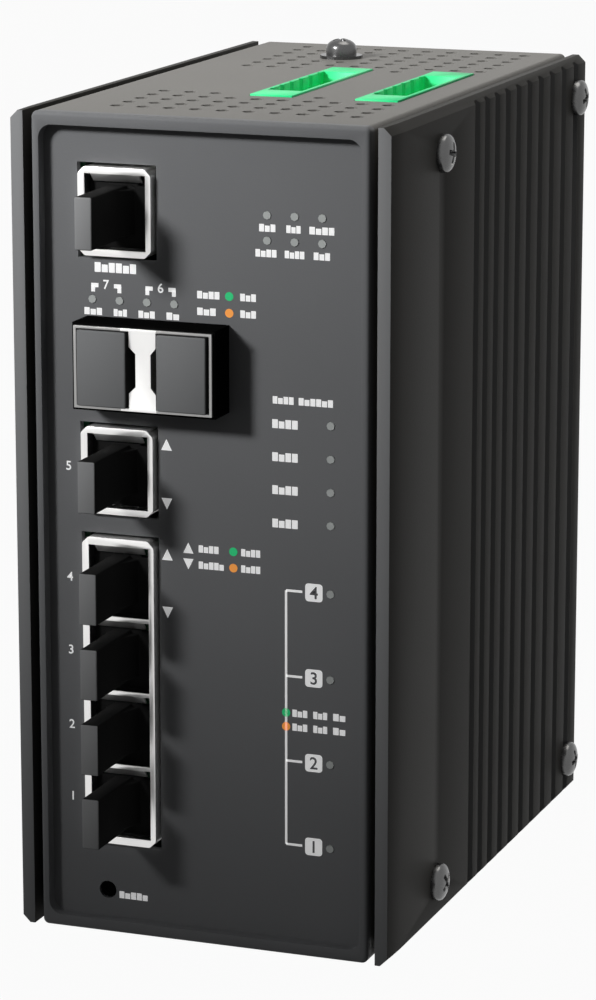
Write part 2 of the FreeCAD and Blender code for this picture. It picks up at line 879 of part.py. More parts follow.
def tongue(top):
    """The shield's spring tongue, folded in and down from the upper rim of a port."""
    body = doc.addObject("PartDesign::Body", "tongue_body")
    tip_y, tip_z = "jack_front + tongue_depth", f"{top} - tongue_drop"
    side_view = [
        ("jack_front", top),
        (tip_y, tip_z),
        (tip_y, f"{tip_z} + tongue_thickness"),
        ("jack_front + shell_wall", f"{top} + tongue_thickness"),
        ("jack_front", f"{top} + tongue_thickness"),
    ]
    width = "jack_width - rim_board_side - rim_latch_side - 2 * tongue_inset"
    offset = "board_face + rim_board_side + tongue_inset"
    padded(body, "YZ_Plane", [side_view], width, offset)
    return body


def mouth(z):
    """The two-step hollow that takes a plug: its body, and the narrower latch beside it."""
    y = ("jack_front + insert_back - 1", "jack_front + insert_back + mouth_depth")
    wide = ("board_face + mouth_floor", "board_face + mouth_floor + mouth_width")
    narrow = ("board_face + mouth_floor", "jack_right - rim_latch_side - shell_wall")
    return [block(wide, y, around(z, "mouth_height")), block(narrow, y, around(z, "latch_height"))]


def contact_row(z):
    start = "jack_front + insert_back + 1"
    return [
        block(
            ("board_face + mouth_floor", "board_face + mouth_floor + contact_height"),
            (start, "jack_front + insert_back + mouth_depth"),
            around(f"{z} + ({n} - (contact_count - 1) / 2) * contact_pitch", "contact_width"),
        )
        for n in count("contact_count")
    ]


def corner_lamps(z):
    """The two lamp windows beside a port's latch."""
    x = ("board_face + mouth_floor + mouth_width + plug_play", "jack_right - rim_latch_side - plug_play")
    y = ("jack_front + insert_back - lamp_thickness", "jack_front + insert_back")
    place_z = "(latch_height / 2 + lamp_height / 2 + 2 * plug_play)"
    return [block(x, y, around(f"{z} + {sign} * {place_z}", "lamp_height")) for sign in ("-1", "1")]


def dust_plug(name, z, opening):
    """A black stopper that rests in a port, with the tab that it is pulled out by."""
    start = "jack_front + plug_inset"
    y = (start, "jack_front + insert_back + plug_depth")
    left = "board_face + mouth_floor + contact_height + plug_play"
    rests = (f"{z} - mouth_height / 2", f"{z} + mouth_height / 2 - 2 * plug_play")
    wide = block((left, "board_face + mouth_floor + mouth_width - plug_play"), y, rests)
    latch = (f"{z} - latch_height / 2", f"{z} + latch_height / 2 - 2 * plug_play")
    narrow = block((left, "jack_right - rim_latch_side - shell_wall - plug_play"), y, latch)
    edge = "jack_right - rim_latch_side - plug_play"
    top = f"{z} + ({opening}) / 2 - plug_play"
    flange_y = (start, f"{start} + plug_flange")
    flange = block(
        ("board_face + rim_board_side + plug_play", edge), flange_y, (f"{z} - ({opening}) / 2 + plug_play", top)
    )
    corner = block(
        (f"{edge} - flange_notch", f"{edge} + 1"), (f"{start} - 1", f"{start} + plug_flange + 1"), (f"{top} - flange_notch", f"{top} + 1")
    )
    tab = block(around("jack_x", "tab_width"), ("panel_face - tab_reach", start), around(z, "tab_height"))
    web = doc.addObject("PartDesign::Body", "web_body")
    outline = [
        ("jack_x - tab_width / 2 - tab_web", start),
        ("jack_x - tab_width / 2", f"{start} - tab_web_length"),
        ("jack_x + tab_width / 2", f"{start} - tab_web_length"),
        ("jack_x + tab_width / 2 + tab_web", start),
    ]
    low = f"{z} - tab_height / 2 + tab_web_inset"
    padded(web, "XY_Plane", [outline], "tab_height - 2 * tab_web_inset", low)
    node(name, fused(wide, narrow, cut(flange, corner), tab, web))


def jacks():
    jack("console", "console_z", 1, "console_depth")
    lamps = jack("single", "single_port_z", 1, "magnetic_depth")
    lamps += jack("gang", "gang_z", 4, "magnetic_depth")
    node("jack_lamps", together(lamps))
    lone = "jack_height - 2 * rim_end"
    dust_plug("console_dust_plug", "console_z", lone)
    dust_plug("port_5_dust_plug", "single_port_z", lone)
    for number, z in zip((4, 3, 2, 1), port_heights("gang_z", 4)):
        dust_plug(f"port_{number}_dust_plug", z, "port_pitch - divider")


# ---- sfp cage ----


def bay_spans():
    """The (low, high) X of the two bays, between the outer walls and the divider channel."""
    left = ("cage_left + cage_wall", "cage_left + cage_wall + cage_bay")
    right = ("cage_right - cage_wall - cage_bay", "cage_right - cage_wall")
    return left, right


def sfp_cage():
    """A pressed cage with two bays, the bright channel between them, and its foam gasket."""
    bay_z = around("cage_z", "cage_height - 2 * cage_wall")
    back = "cage_front + cage_depth"
    outer = block(("cage_left", "cage_right"), ("cage_front", back), around("cage_z", "cage_height"))
    tools = [block(x, ("cage_front - 1", "cage_front + cage_bay_depth"), bay_z) for x in bay_spans()]
    left, right = bay_spans()
    channel = (f"{left[1]} + cage_wall", f"{right[0]} - cage_wall")
    tools.append(block(channel, ("cage_front + cage_wall", "cage_front + cage_bay_depth"), bay_z))
    for side, inner, notch in ((left[1], 1, "cage_notch_left"), (right[0], -1, "cage_notch_right")):
        tool = doc.addObject("PartDesign::Body", "notch_body")
        tall = "cage_notch_height / 2"
        outline = [
            (side, f"cage_z + {tall} + cage_notch_slant"),
            (f"{side} + {inner} * {notch}", f"cage_z + {tall}"),
            (f"{side} + {inner} * {notch}", f"cage_z - {tall}"),
            (side, f"cage_z - {tall} - cage_notch_slant"),
        ]
        padded(tool, "XZ_Plane", [outline], "cage_reach / 2 + 1", "-(cage_front - 1)", backwards=True)
        tools.append(tool)
    pins = []
    for y in ("cage_depth / 2", "cage_depth - 4"):
        for side in ("-1", "1"):
            z = f"cage_z + {side} * (cage_height / 2 - cage_pin)"
            pins.append(
                block(
                    ("board_face", "cage_left"),
                    around(f"cage_front + {y} + cage_pin", "cage_pin"),
                    around(z, "cage_pin"),
                )
            )
    node("sfp_cage", fused(cut(outer, *tools), *pins))
    foam_y = ("cage_front + gasket_setback", "panel_face")
    foam = block(
        ("cage_left - gasket", "cage_right + gasket"), foam_y, around("cage_z", "cage_height + 2 * gasket")
    )
    core = block(
        ("cage_left", "cage_right"), ("cage_front", "panel_face + 1"), around("cage_z", "cage_height")
    )
    node("sfp_gasket", cut(foam, core))
    sockets = []
    for x in bay_spans():
        y = ("cage_front + cage_bay_depth - socket_depth", "cage_front + cage_bay_depth")
        half = f"(({x[0]}) + ({x[1]})) / 2"
        body = block((x[0], f"{half} + socket_slit"), y, bay_z)
        slit = block(
            around(f"{half} - socket_slit", "socket_slit"),
            (f"{y[0]} - 1", f"{y[0]} + socket_slit_depth"),
            around("cage_z", "socket_slit_height"),
        )
        sockets.append(cut(body, slit))
    node("sfp_sockets", together(sockets))
    for name, x in zip(("sfp_plug_left", "sfp_plug_right"), bay_spans()):
        loose = (f"{x[0]} + cage_plug_gap", f"{x[1]} - cage_plug_gap")
        y = ("cage_front - cage_plug_proud", "cage_front + cage_plug_depth")
        node(name, block(loose, y, (bay_z[0], f"{bay_z[1]} - cage_plug_play")))


# ---- lamps and reset ----


def lamp_places():
    """(x, z) of every status lamp in the front panel."""
    status = [
        (f"status_x + {column} * status_pitch_x", f"status_z - {row} * status_pitch_z")
        for row in range(2)
        for column in range(3)
    ]
    usage = [("usage_x", f"usage_z - {row} * usage_pitch") for row in range(4)]
    feeding = [("usage_x", f"feed_low_z + {row} * feed_pitch") for row in range(4)]
    bays = [(f"bay_lamp_x + {column} * bay_lamp_pitch", "bay_lamp_z") for column in range(4)]
    return status + usage + feeding + bays


def lamp_row():
    reach = ("panel_face - pipe_proud", "lamp_board_face")
    node("light_pipes", together([rod("y", "pipe_radius", x, reach, z) for x, z in lamp_places()]))
    thick = ("lamp_board_face", "lamp_board_face + board")
    upright = block(("lamp_board_left", "lamp_board_right"), thick, ("lamp_board_low", "lamp_board_high"))
    wing_z = ("cage_top + lamp_wing_from * bay_room", "cage_top + lamp_wing_to * bay_room")
    wing = block(("board_face", "lamp_board_left"), thick, wing_z)
    node("lamp_board", fused(upright, wing))
    gap = ("panel_back", "lamp_board_face")
    heights = (
        "lamp_board_low + post_inset",
        "(lamp_board_low + lamp_board_high) / 2",
        "lamp_board_high - spacer_from_top",
    )
    spacers = [rod("y", "post_radius", "lamp_board_left + spacer_inset", gap, z, "6") for z in heights]
    node("lamp_board_spacers", together(spacers))


def reset_key():
    """The tact switch on the main board's corner, and its stem behind the pinhole."""
    y = ("reset_face", "reset_face + reset_switch_depth")
    switch = block(
        ("board_face", "reset_x + reset_switch_size / 2"), y, around("reset_z", "reset_switch_size")
    )
    bore = rod(
        "y",
        "reset_pin_radius + reset_pin_play",
        "reset_x",
        ("reset_face - 1", "reset_face + reset_bore_depth + reset_travel + reset_pin_play"),
        "reset_z",
        "head_sides",
    )
    node("reset_switch", cut(switch, bore))
    stem = ("panel_face + reset_setback", "reset_face + reset_bore_depth")
    node("reset_button", rod("y", "reset_pin_radius", "reset_x", stem, "reset_z", "head_sides"))


# ---- boards ----


def side_posts(sign):
    """(x span, y, z) of the posts that carry the main board (-1) or the power board (1)."""
    if sign == "-1":
        x = ("-inner_side", "board_back")
        places = [
            ("reset_face + reset_switch_depth + post_inset", "board_low + post_inset"),
            ("jack_front + console_depth + 2 * post_inset", "board_high - post_inset"),
            ("board_rear - post_inset", "board_low + post_inset"),
            ("board_rear - post_inset", "board_high - post_inset"),
        ]
    else:
        x = ("power_back", "inner_side")
        inset_y = "power_rear - post_inset"
        places = [
            ("front + power_board_front + post_inset + power_post_shift", "board_low + post_inset"),
            (inset_y, "board_low + post_inset + power_post_rise"),
            (inset_y, "header_board_low - 2 * post_inset - power_post_rise"),
        ]
    return [(x, y, z) for y, z in places]


def post(axis, low, high, x, y, z):
    """A six-sided post along an axis, drilled for a screw."""
    spot = {"x": x, "y": y, "z": z, axis: (low, high)}
    drilled = dict(spot, **{axis: (f"{low} - 1", f"{high} + 1")})
    return cut(
        rod(axis, "post_radius", spot["x"], spot["y"], spot["z"], "6"),
        rod(axis, "post_bore", drilled["x"], drilled["y"], drilled["z"]),
    )


def boards():
    posts, screws = [], []
    main_holes, power_holes = [], []
    for x, y, z in side_posts("-1"):
        posts.append(post("x", x[0], x[1], None, y, z))
        main_holes.append(rod("x", "post_bore", ("board_back - 1", "board_face + 1"), y, z))
        head = flat_head("x", "small_head_radius", "small_head_height", "board_face", 1, None, y, z)
        screws.append(fused(head, rod("x", "post_bore", ("-inner_side", "board_face"), y, z)))
    for x, y, z in side_posts("1"):
        posts.append(post("x", x[0], x[1], None, y, z))
        power_holes.append(rod("x", "post_bore", ("power_board_x - 1", "power_back + 1"), y, z))
        head = flat_head("x", "small_head_radius", "small_head_height", "power_board_x", -1, None, y, z)
        screws.append(fused(head, rod("x", "post_bore", ("power_board_x", "inner_side"), y, z)))
    main = block(("board_back", "board_face"), ("board_front", "board_rear"), ("board_low", "board_high"))
    node("main_board", cut(main, *main_holes))
    power = block(
        ("power_board_x", "power_back"),
        ("front + power_board_front", "power_rear"),
        ("board_low", "header_board_low"),
    )
    node("power_board", cut(power, *power_holes))
    node("board_posts", together(posts))
    node("board_screws", together(screws))


def header_board():
    """The level board under the top, and the posts that it hangs from."""
    y_span = ("jack_front + console_depth + header_board_gap", "header_y + header_half + header_board_rear")
    level = block(
        ("board_face", "inner_side - header_board_side_gap"), y_span, ("header_board_low", "header_base")
    )
    x = "(alarm_x + power_x) / 2"
    places = [(x, "header_y - header_post_spread"), (x, "header_y + header_post_spread")]
    holes = [rod("z", "post_bore", px, py, ("header_board_low - 1", "header_base + 1")) for px, py in places]
    node("header_board", cut(level, *holes))
    posts, screws = [], []
    for px, py in places:
        bore = rod("z", "post_bore", px, py, ("header_base - 1", "header_base + header_post_bore"))
        posts.append(cut(rod("z", "post_radius", px, py, ("header_base", "ceiling"), "6"), bore))
        head = flat_head("z", "small_head_radius", "small_head_height", "header_board_low", -1, px, py, None)
        shank = rod("z", "post_bore", px, py, ("header_board_low", "header_base + header_screw_length"))
        screws.append(fused(head, shank))
    node("header_board_posts", together(posts))
    node("header_board_screws", together(screws))


def pin_places():
    return [f"header_y + ({n} - (pin_count - 1) / 2) * pin_pitch" for n in count("pin_count")]


def terminal_header(name, x):
    """A green shrouded header for a plug of screw terminals, let into the top."""
    body = block(around(x, "header_width"), around("header_y", "2 * header_half"), ("header_base", "header_top"))
    inside = around(x, "header_width - 2 * header_wall")
    tools = [
        block(inside, around("header_y", "2 * cavity_half"), ("header_base + header_floor", "header_top + 1"))
    ]
    for y in pin_places():
        keyway_x = f"{inside[0]} - key_depth + key_radius"
        tools.append(rod("z", "key_radius", keyway_x, y, ("header_base + header_floor", "header_top + 1")))
        tools.append(
            block(around(x, "pin_side"), around(y, "pin_side"), ("header_base - 1", "header_base + header_floor + 1"))
        )
    node(f"{name}_header", cut(body, *tools))
    pins = [
        block(around(x, "pin_side"), around(y, "pin_side"), ("header_base", "header_top - pin_below_rim"))
        for y in pin_places()
    ]
    node(f"{name}_pins", together(pins))


def board_parts():
    """The larger parts on the boards, with the blocks that lead their heat to the sinks."""
    chip_x = ("board_back - chip_thickness", "board_back")
    pad = around("pad_place", "block_side")
    node("switch_chip", block(chip_x, around("pad_place", "chip_side"), around("chip_z", "chip_side")))
    lead = ("-chassis_side", "board_back - chip_thickness")
    node("chip_heat_block", block(lead, pad, around("chip_z", "block_side")))
    heights = [f"chip_z + ({n} - (transistor_count - 1) / 2) * transistor_pitch" for n in count("transistor_count")]
    hot_x = ("power_back", "power_back + transistor_thickness")
    hot = [block(hot_x, around("pad_place", "transistor_side"), around(z, "transistor_side")) for z in heights]
    node("power_transistors", together(hot))
    tall = "(transistor_count - 1) * transistor_pitch + transistor_side"
    spread = ("power_back + transistor_thickness", "chassis_side")
    node("power_heat_block", block(spread, pad, around("chip_z", tall)))
    cans, coils = [], []
    for n in count("capacitor_count"):
        x = ("power_board_x - capacitor_length", "power_board_x")
        z = f"board_low + capacitor_radius + capacitor_start + {n} * capacitor_pitch"
        cans.append(rod("x", "capacitor_radius", x, "rear - capacitor_from_rear", z, "round_sides"))
    for n in count("inductor_count"):
        y, z = "front + inductor_from_front", f"board_low + inductor_radius + inductor_start + {n} * inductor_pitch"
        x = "power_board_x - inductor_thickness"
        ring = rod("x", "inductor_radius", (x, "power_board_x"), y, z, "head_sides")
        coils.append(cut(ring, rod("x", "inductor_bore", (f"{x} - 1", "power_board_x + 1"), y, z)))
    node("capacitors", together(cans))
    node("inductors", together(coils))
    transformers = []
    for z in port_heights("gang_z", 4) + ["single_port_z"]:
        y0 = "jack_front + magnetic_depth + magnetic_gap"
        transformers.append(
            block(("board_face", "board_face + magnetic_height"), (y0, f"{y0} + magnetic_width"), around(z, "magnetic_width"))
        )
    node("line_transformers", together(transformers))
    along = around("header_y + link_behind_header", "link_length")
    below = ("header_board_low - link_height", "header_board_low")
    left = block(("board_face", "board_face + link_width"), along, below)
    right = block(("power_board_x - link_width", "power_board_x"), along, below)
    node("board_links", together([left, right]))


front_frame()
chassis()
front_panel()
heat_sink()
side_screws()
ground_terminal()
rail_clip()
jacks()
sfp_cage()
lamp_row()
reset_key()
boards()
header_board()
terminal_header("alarm", "alarm_x")
terminal_header("power", "power_x")
board_parts()
doc.recompute()

failed = [f"{thing.Label}: {thing.State}" for thing in doc.Objects if {"Invalid", "Error"} & set(thing.State)]
for name, thing in nodes.items():
    if thing.Shape.isNull() or not thing.Shape.isValid() or not thing.Shape.Solids:
        failed.append(f"{name}: no valid shape")
if failed:
    raise SystemExit("not built: " + "; ".join(failed))

os.makedirs("parts", exist_ok=True)
for name, thing in nodes.items():
    thing.Shape.exportStep(f"parts/{name}.step")
    box = thing.Shape.BoundBox
    print(
        f"{name}: {len(thing.Shape.Solids)} solids, {thing.Shape.Volume:.1f} mm3, "
        f"x {box.XMin:.2f}..{box.XMax:.2f} y {box.YMin:.2f}..{box.YMax:.2f} z {box.ZMin:.2f}..{box.ZMax:.2f}"
    )
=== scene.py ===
"""Dresses the rail mounted network switch: coated metal, jacks and stoppers, print, screws, light."""

import math

import bmesh
import bpy
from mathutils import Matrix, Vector


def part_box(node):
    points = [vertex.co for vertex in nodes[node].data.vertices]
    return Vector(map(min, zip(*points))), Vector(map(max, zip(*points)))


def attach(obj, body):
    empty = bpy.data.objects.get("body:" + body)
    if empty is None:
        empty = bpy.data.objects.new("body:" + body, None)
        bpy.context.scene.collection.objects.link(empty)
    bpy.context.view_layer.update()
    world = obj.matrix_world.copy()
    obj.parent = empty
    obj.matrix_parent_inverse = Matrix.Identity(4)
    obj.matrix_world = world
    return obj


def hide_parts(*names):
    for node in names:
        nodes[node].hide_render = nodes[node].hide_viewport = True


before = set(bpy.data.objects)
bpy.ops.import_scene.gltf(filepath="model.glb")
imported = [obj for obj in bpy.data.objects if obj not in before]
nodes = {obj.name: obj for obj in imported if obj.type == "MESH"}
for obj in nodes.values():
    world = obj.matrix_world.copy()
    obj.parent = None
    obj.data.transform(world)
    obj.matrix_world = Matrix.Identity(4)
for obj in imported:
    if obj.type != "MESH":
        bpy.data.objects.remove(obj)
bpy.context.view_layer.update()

MM = 0.001
BODY = "enclosure"
scene = bpy.context.scene


# ---- shader expressions ----


class Wire:
    """A socket that adds Math nodes to its tree when an expression is written on it."""

    def __init__(self, finish, socket):
        self.finish = finish
        self.socket = socket

    def _math(self, operation, first, second):
        return self.finish.add("ShaderNodeMath", {"operation": operation}, {0: first, 1: second})

    def __add__(self, other):
        return self._math("ADD", self, other)

    def __radd__(self, other):
        return self._math("ADD", other, self)

    def __sub__(self, other):
        return self._math("SUBTRACT", self, other)

    def __rsub__(self, other):
        return self._math("SUBTRACT", other, self)

    def __mul__(self, other):
        return self._math("MULTIPLY", self, other)

    def __rmul__(self, other):
        return self._math("MULTIPLY", other, self)

    def __pow__(self, other):
        return self._math("POWER", self, other)


class Finish:
    """The node tree of one material."""

    def __init__(self, name):
        self.material = bpy.data.materials.new(name)
        self.material.use_nodes = True
        self.tree = self.material.node_tree
        self.tree.nodes.clear()
        self.place = self.add("ShaderNodeTexCoord", out="Object")

    def add(self, kind, settings=None, inputs=None, out=0):
        """A node with its settings made first, then its sockets' values or links."""
        made = self.tree.nodes.new(kind)
        for name, value in (settings or {}).items():
            if name == "stops":
                fit_stops(made.color_ramp, value)
            else:
                setattr(made, name, value)
        for name, value in (inputs or {}).items():
            if isinstance(value, Wire):
                self.tree.links.new(value.socket, made.inputs[name])
            else:
                made.inputs[name].default_value = value
        return Wire(self, made.outputs[out])

    def noise(self, per_metre, detail=3.0, stretch=None):
        """Cloudy noise from 0 to 1, with that many clouds to the metre."""
        place = self.place
        if stretch:
            place = self.add("ShaderNodeMapping", {}, {"Vector": place, "Scale": stretch})
        return self.add("ShaderNodeTexNoise", {}, {"Vector": place, "Scale": per_metre, "Detail": detail})

    def blend(self, share, first, second):
        """A colour between two colours."""
        wheel = {"data_type": "RGBA"}
        return self.add("ShaderNodeMix", wheel, {0: share, 6: first, 7: second}, out=2)

    def facing_front(self, ahead_of=None):
        """1 on faces that look forward (to -Y), 0 on the rest, and on all behind ahead_of in Y."""
        normal = self.add("ShaderNodeTexCoord", out="Normal")
        along = self.add("ShaderNodeSeparateXYZ", {}, {0: normal}, out=1)
        ramp = {"stops": [(0.3, 0.0), (0.7, 1.0)]}
        facing = self.add("ShaderNodeValToRGB", ramp, {"Fac": along * -1.0})
        if ahead_of is None:
            return facing
        depth = self.add("ShaderNodeSeparateXYZ", {}, {0: self.place}, out=1)
        return facing * self.add("ShaderNodeMath", {"operation": "LESS_THAN"}, {0: depth, 1: ahead_of})

    def bump(self, height, depth, strength=1.0):
        return self.add("ShaderNodeBump", {}, {"Height": height, "Distance": depth, "Strength": strength})

    def surface(self, **sockets):
        """Ends the tree in one Principled shader. Sockets' names have _ for a space."""
        inputs = {name.replace("_", " "): value for name, value in sockets.items()}
        self.end("ShaderNodeOutputMaterial", self.add("ShaderNodeBsdfPrincipled", {}, inputs))
        return self.material

    def end(self, kind, shader):
        self.tree.links.new(shader.socket, self.tree.nodes.new(kind).inputs["Surface"])


def fit_stops(ramp, stops):
    while len(ramp.elements) < len(stops):
        ramp.elements.new(0.5)
    for element, (position, level) in zip(ramp.elements, stops):
        element.position = position
        element.color = (level, level, level, 1)


def shade(colour, factor):
    return tuple(min(1.0, c * factor) for c in colour[:3]) + (1,)


# ---- finishes ----


def powder_coat(name, colour, roughness=0.5, gloss=0.08, grain=0.00004, front=None):
    """Baked coating: fine orange peel and a colour that clouds a little. Front is a colour for
    the faces that look forward, and stands in for light that comes from the front alone."""
    finish = Finish(name)
    cloud = finish.noise(45, 2)
    peel = finish.noise(2600, 2)
    speck = finish.noise(7000, 1)
    mottled = finish.blend(cloud * 0.7 + speck * 0.3, shade(colour, 0.93), shade(colour, 1.07))
    if front:
        mottled = finish.blend(finish.facing_front(), mottled, shade(front, 1.0))
    return finish.surface(
        Base_Color=mottled,
        Roughness=roughness - 0.04 + peel * 0.08,
        Specular_IOR_Level=gloss,
        Normal=finish.bump(peel + speck * 0.4, grain, 0.5),
    )


def moulded(name, colour, roughness=0.45, gloss=0.25, grain=0.00003, front=None, ahead_of=None):
    """Moulded plastic or rubber: faint flow clouds and spark texture. Front is a colour for
    the faces that look forward, only ahead of ahead_of in Y. As on a coating, it is
    painted light that comes from the front alone."""
    finish = Finish(name)
    flow = finish.noise(90, 3)
    spark = finish.noise(4200, 2)
    skin = finish.blend(flow, shade(colour, 0.9), shade(colour, 1.1))
    if front:
        skin = finish.blend(finish.facing_front(ahead_of), skin, shade(front, 1.0))
    return finish.surface(
        Base_Color=skin,
        Roughness=roughness - 0.05 + flow * 0.1,
        Specular_IOR_Level=gloss,
        Normal=finish.bump(spark, grain, 0.4),
    )


def bright_metal(name, colour, roughness=0.25, brushed=(1, 1, 1), metal=1.0, painted_shade_past=None):
    """Bare or plated metal with a drawn grain along one axis. Given an (x, reach) pair as its last
    argument, its colour is painted darker where it is farther than reach from x: painted shade."""
    finish = Finish(name)
    grain = finish.noise(1500, 3, stretch=brushed)
    tarnish = finish.noise(160, 3)
    skin = finish.blend(tarnish, shade(colour, 0.9), shade(colour, 1.05))
    if painted_shade_past:
        across = finish.add("ShaderNodeSeparateXYZ", {}, {0: finish.place})
        away = finish.add("ShaderNodeMath", {"operation": "ABSOLUTE"}, {0: across - painted_shade_past[0]})
        past = finish.add("ShaderNodeMath", {"operation": "GREATER_THAN"}, {0: away, 1: painted_shade_past[1]})
        # painted shade: the colour falls to 0.4 of itself past the reach
        skin = finish.blend(past, skin, shade(colour, 0.4))
    return finish.surface(
        Base_Color=skin,
        Metallic=metal,
        Roughness=roughness - 0.06 + grain * 0.12 + tarnish * 0.05,
        Normal=finish.bump(grain, 0.00001, 0.3),
    )


def solder_mask(name, colour):
    """Circuit board: a glossy mask with tracks that stand out of it a little."""
    finish = Finish(name)
    squares = {"distance": "CHEBYCHEV"}
    cells = finish.add("ShaderNodeTexVoronoi", squares, {"Vector": finish.place, "Scale": 420.0})
    tracks = finish.add("ShaderNodeValToRGB", {"stops": [(0.42, 0.0), (0.5, 1.0)]}, {"Fac": cells})
    return finish.surface(
        Base_Color=finish.blend(tracks, shade(colour, 0.7), shade(colour, 1.3)),
        Roughness=0.35,
        Coat_Weight=0.2,
        Normal=finish.bump(cells, 0.00003, 0.4),
    )


def ink(name, colour, glow=0.0):
    """Screen print, a little uneven in its cover. Its glow is painted light, to keep it legible in shade."""
    finish = Finish(name)
    cover = finish.noise(1800, 2)
    return finish.surface(
        Base_Color=finish.blend(cover, shade(colour, 0.88), shade(colour, 1.0)),
        Roughness=0.5 + cover * 0.1,
        Emission_Color=shade(colour, 1.0),
        Emission_Strength=glow,
    )


GREY = (0.155, 0.158, 0.163)
COATED = powder_coat("grey_coating", GREY)
TOP_COAT = powder_coat("shell_coating", (0.168, 0.163, 0.153))
# Painted shade and painted light: the sinks are painted dark where they look aside and pale where they look
# forward, for light that falls from the front alone.
SINK_LIT_FRONT = (0.22, 0.223, 0.227)
SINK = powder_coat("sink_coating", (0.048, 0.0465, 0.0435), roughness=0.5, gloss=0.02, front=SINK_LIT_FRONT)
BLACKENED = bright_metal("blackened_steel", (0.11, 0.11, 0.11), roughness=0.24)
PLATED = bright_metal("plated_steel", (0.62, 0.62, 0.61), roughness=0.3, brushed=(1, 1, 0.1))
SPRING = bright_metal("spring_steel", (0.5, 0.5, 0.52), roughness=0.22, brushed=(0.1, 1, 1))
SHIELD = bright_metal("tin_shield", (0.93, 0.925, 0.91), roughness=0.3, brushed=(1, 0.1, 1), metal=0.8)
# Painted shade: the cage is painted darker farther than 3.4 mm from its middle in X, for the dark
# surroundings that its tin reflects.
CAGE_MIDDLE = sum(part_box("sfp_cage")[end].x for end in (0, 1)) / 2
CAGE_SHADE_BOUND = (CAGE_MIDDLE, 3.4 * MM)
CAGE = bright_metal("tin_cage", (0.93, 0.925, 0.91), roughness=0.3, metal=0.9, painted_shade_past=CAGE_SHADE_BOUND)
GOLD = bright_metal("gold_flash", (0.83, 0.62, 0.25), roughness=0.2, brushed=(1, 0.1, 1))
TINNED = bright_metal("tinned_pins", (0.75, 0.75, 0.73), roughness=0.25, brushed=(1, 1, 0.1))
ALUMINIUM = bright_metal("milled_aluminium", (0.72, 0.72, 0.73), roughness=0.35, brushed=(1, 0.15, 1))
COPPER = bright_metal("wound_copper", (0.72, 0.38, 0.2), roughness=0.35, brushed=(0.2, 1, 1))
BLACK = moulded("black_moulding", (0.012, 0.012, 0.012), roughness=0.5)
# Painted light and painted shade: the stoppers' forward faces ahead of the flange take a pale colour, and
# their sides and the flange stay near black, where shade falls.
TAB_PAINTED_LIGHT = {"front": (0.27, 0.273, 0.277), "ahead_of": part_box("console_dust_plug")[0].y + 2 * MM}
STOPPER = moulded("dark_stopper", (0.01, 0.01, 0.01), roughness=0.6, gloss=0.03, **TAB_PAINTED_LIGHT)
# Painted light and painted shade: the cage stoppers' forward faces take a pale colour, and their sides stay
# near black, where shade falls.
BAY_LIT_FRONT = (0.2, 0.204, 0.208)
CAGE_STOPPER = moulded("grey_stopper", (0.02, 0.02, 0.02), roughness=0.6, gloss=0.03, front=BAY_LIT_FRONT)
BUTTON = moulded("dark_button", (0.002, 0.002, 0.002), roughness=0.8, gloss=0.0)
# Painted shade: the gasket round the cage is near black, a dark piece where the gap round the cage shows
# shade.
GAP_SHADE_FOAM = moulded("gap_shade_foam", (0.004, 0.004, 0.004), roughness=0.9, gloss=0.0, grain=0.0002)
LENS = moulded("lamp_lens", (0.42, 0.44, 0.43), roughness=0.3)
PORT_LENS = moulded("port_lamp_lens", (0.05, 0.12, 0.07), roughness=0.25)
HEADER = moulded("green_header", (0.015, 0.75, 0.26), roughness=0.4)
NYLON = moulded("white_nylon", (0.75, 0.75, 0.72), roughness=0.45)
CREAM = moulded("cream_plastic", (0.7, 0.68, 0.6), roughness=0.4)
CHIP = moulded("chip_package", (0.02, 0.02, 0.022), roughness=0.6)
BOARD = solder_mask("green_mask", (0.006, 0.05, 0.02))
# The glow of the white, green and orange print is painted light.
WHITE_INK = ink("white_ink", (0.88, 0.88, 0.88), glow=0.3)
GREEN_INK = ink("green_ink", (0.01, 0.5, 0.17), glow=0.2)
ORANGE_INK = ink("orange_ink", (0.9, 0.33, 0.06), glow=0.25)
DARK_INK = ink("dark_ink", (0.06, 0.06, 0.065))

NODE_FINISHES = {
    COATED: ["front_frame", "front_panel"],
    TOP_COAT: ["chassis_shell"],
    SINK: ["right_heat_sink", "left_heat_sink"],
    BLACKENED: ["right_sink_screws", "left_sink_screws", "ground_screw", "ground_washer"],
    PLATED: ["rail_bracket", "rail_bracket_screws", "board_screws", "header_board_screws"],
    SPRING: ["rail_spring"],
    SHIELD: ["console_jack_shell", "single_jack_shell", "gang_jack_shell"],
    CAGE: ["sfp_cage"],
    BUTTON: ["reset_button"],
    BLACK: [
        "console_jack_insert",
        "single_jack_insert",
        "gang_jack_insert",
        "sfp_sockets",
        "reset_switch",
    ],
    STOPPER: ["console_dust_plug"] + [f"port_{number}_dust_plug" for number in range(1, 6)],
    CAGE_STOPPER: ["sfp_plug_left", "sfp_plug_right"],
    GAP_SHADE_FOAM: ["sfp_gasket"],
    GOLD: ["console_jack_contacts", "single_jack_contacts", "gang_jack_contacts"],
    TINNED: ["alarm_pins", "power_pins"],
    LENS: ["light_pipes"],
    PORT_LENS: ["jack_lamps"],
    BOARD: ["main_board", "power_board", "header_board", "lamp_board"],
    COPPER: ["inductors"],
    ALUMINIUM: ["chip_heat_block", "power_heat_block", "capacitors", "board_posts", "header_board_posts"],
    NYLON: ["lamp_board_spacers"],
    HEADER: ["alarm_header", "power_header"],
    CHIP: ["switch_chip", "power_transistors", "line_transformers"],
    CREAM: ["board_links"],
}
for finish, names in NODE_FINISHES.items():
    for name in names:
        slots = nodes[name].data.materials
        if not slots:
            slots.append(finish)
        for index in range(len(slots)):
            slots[index] = finish


# ---- places, in millimetres ----


def box_of(name):
    """The node's lowest and highest corner, in millimetres."""
    low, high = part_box(name)
    return low / MM, high / MM


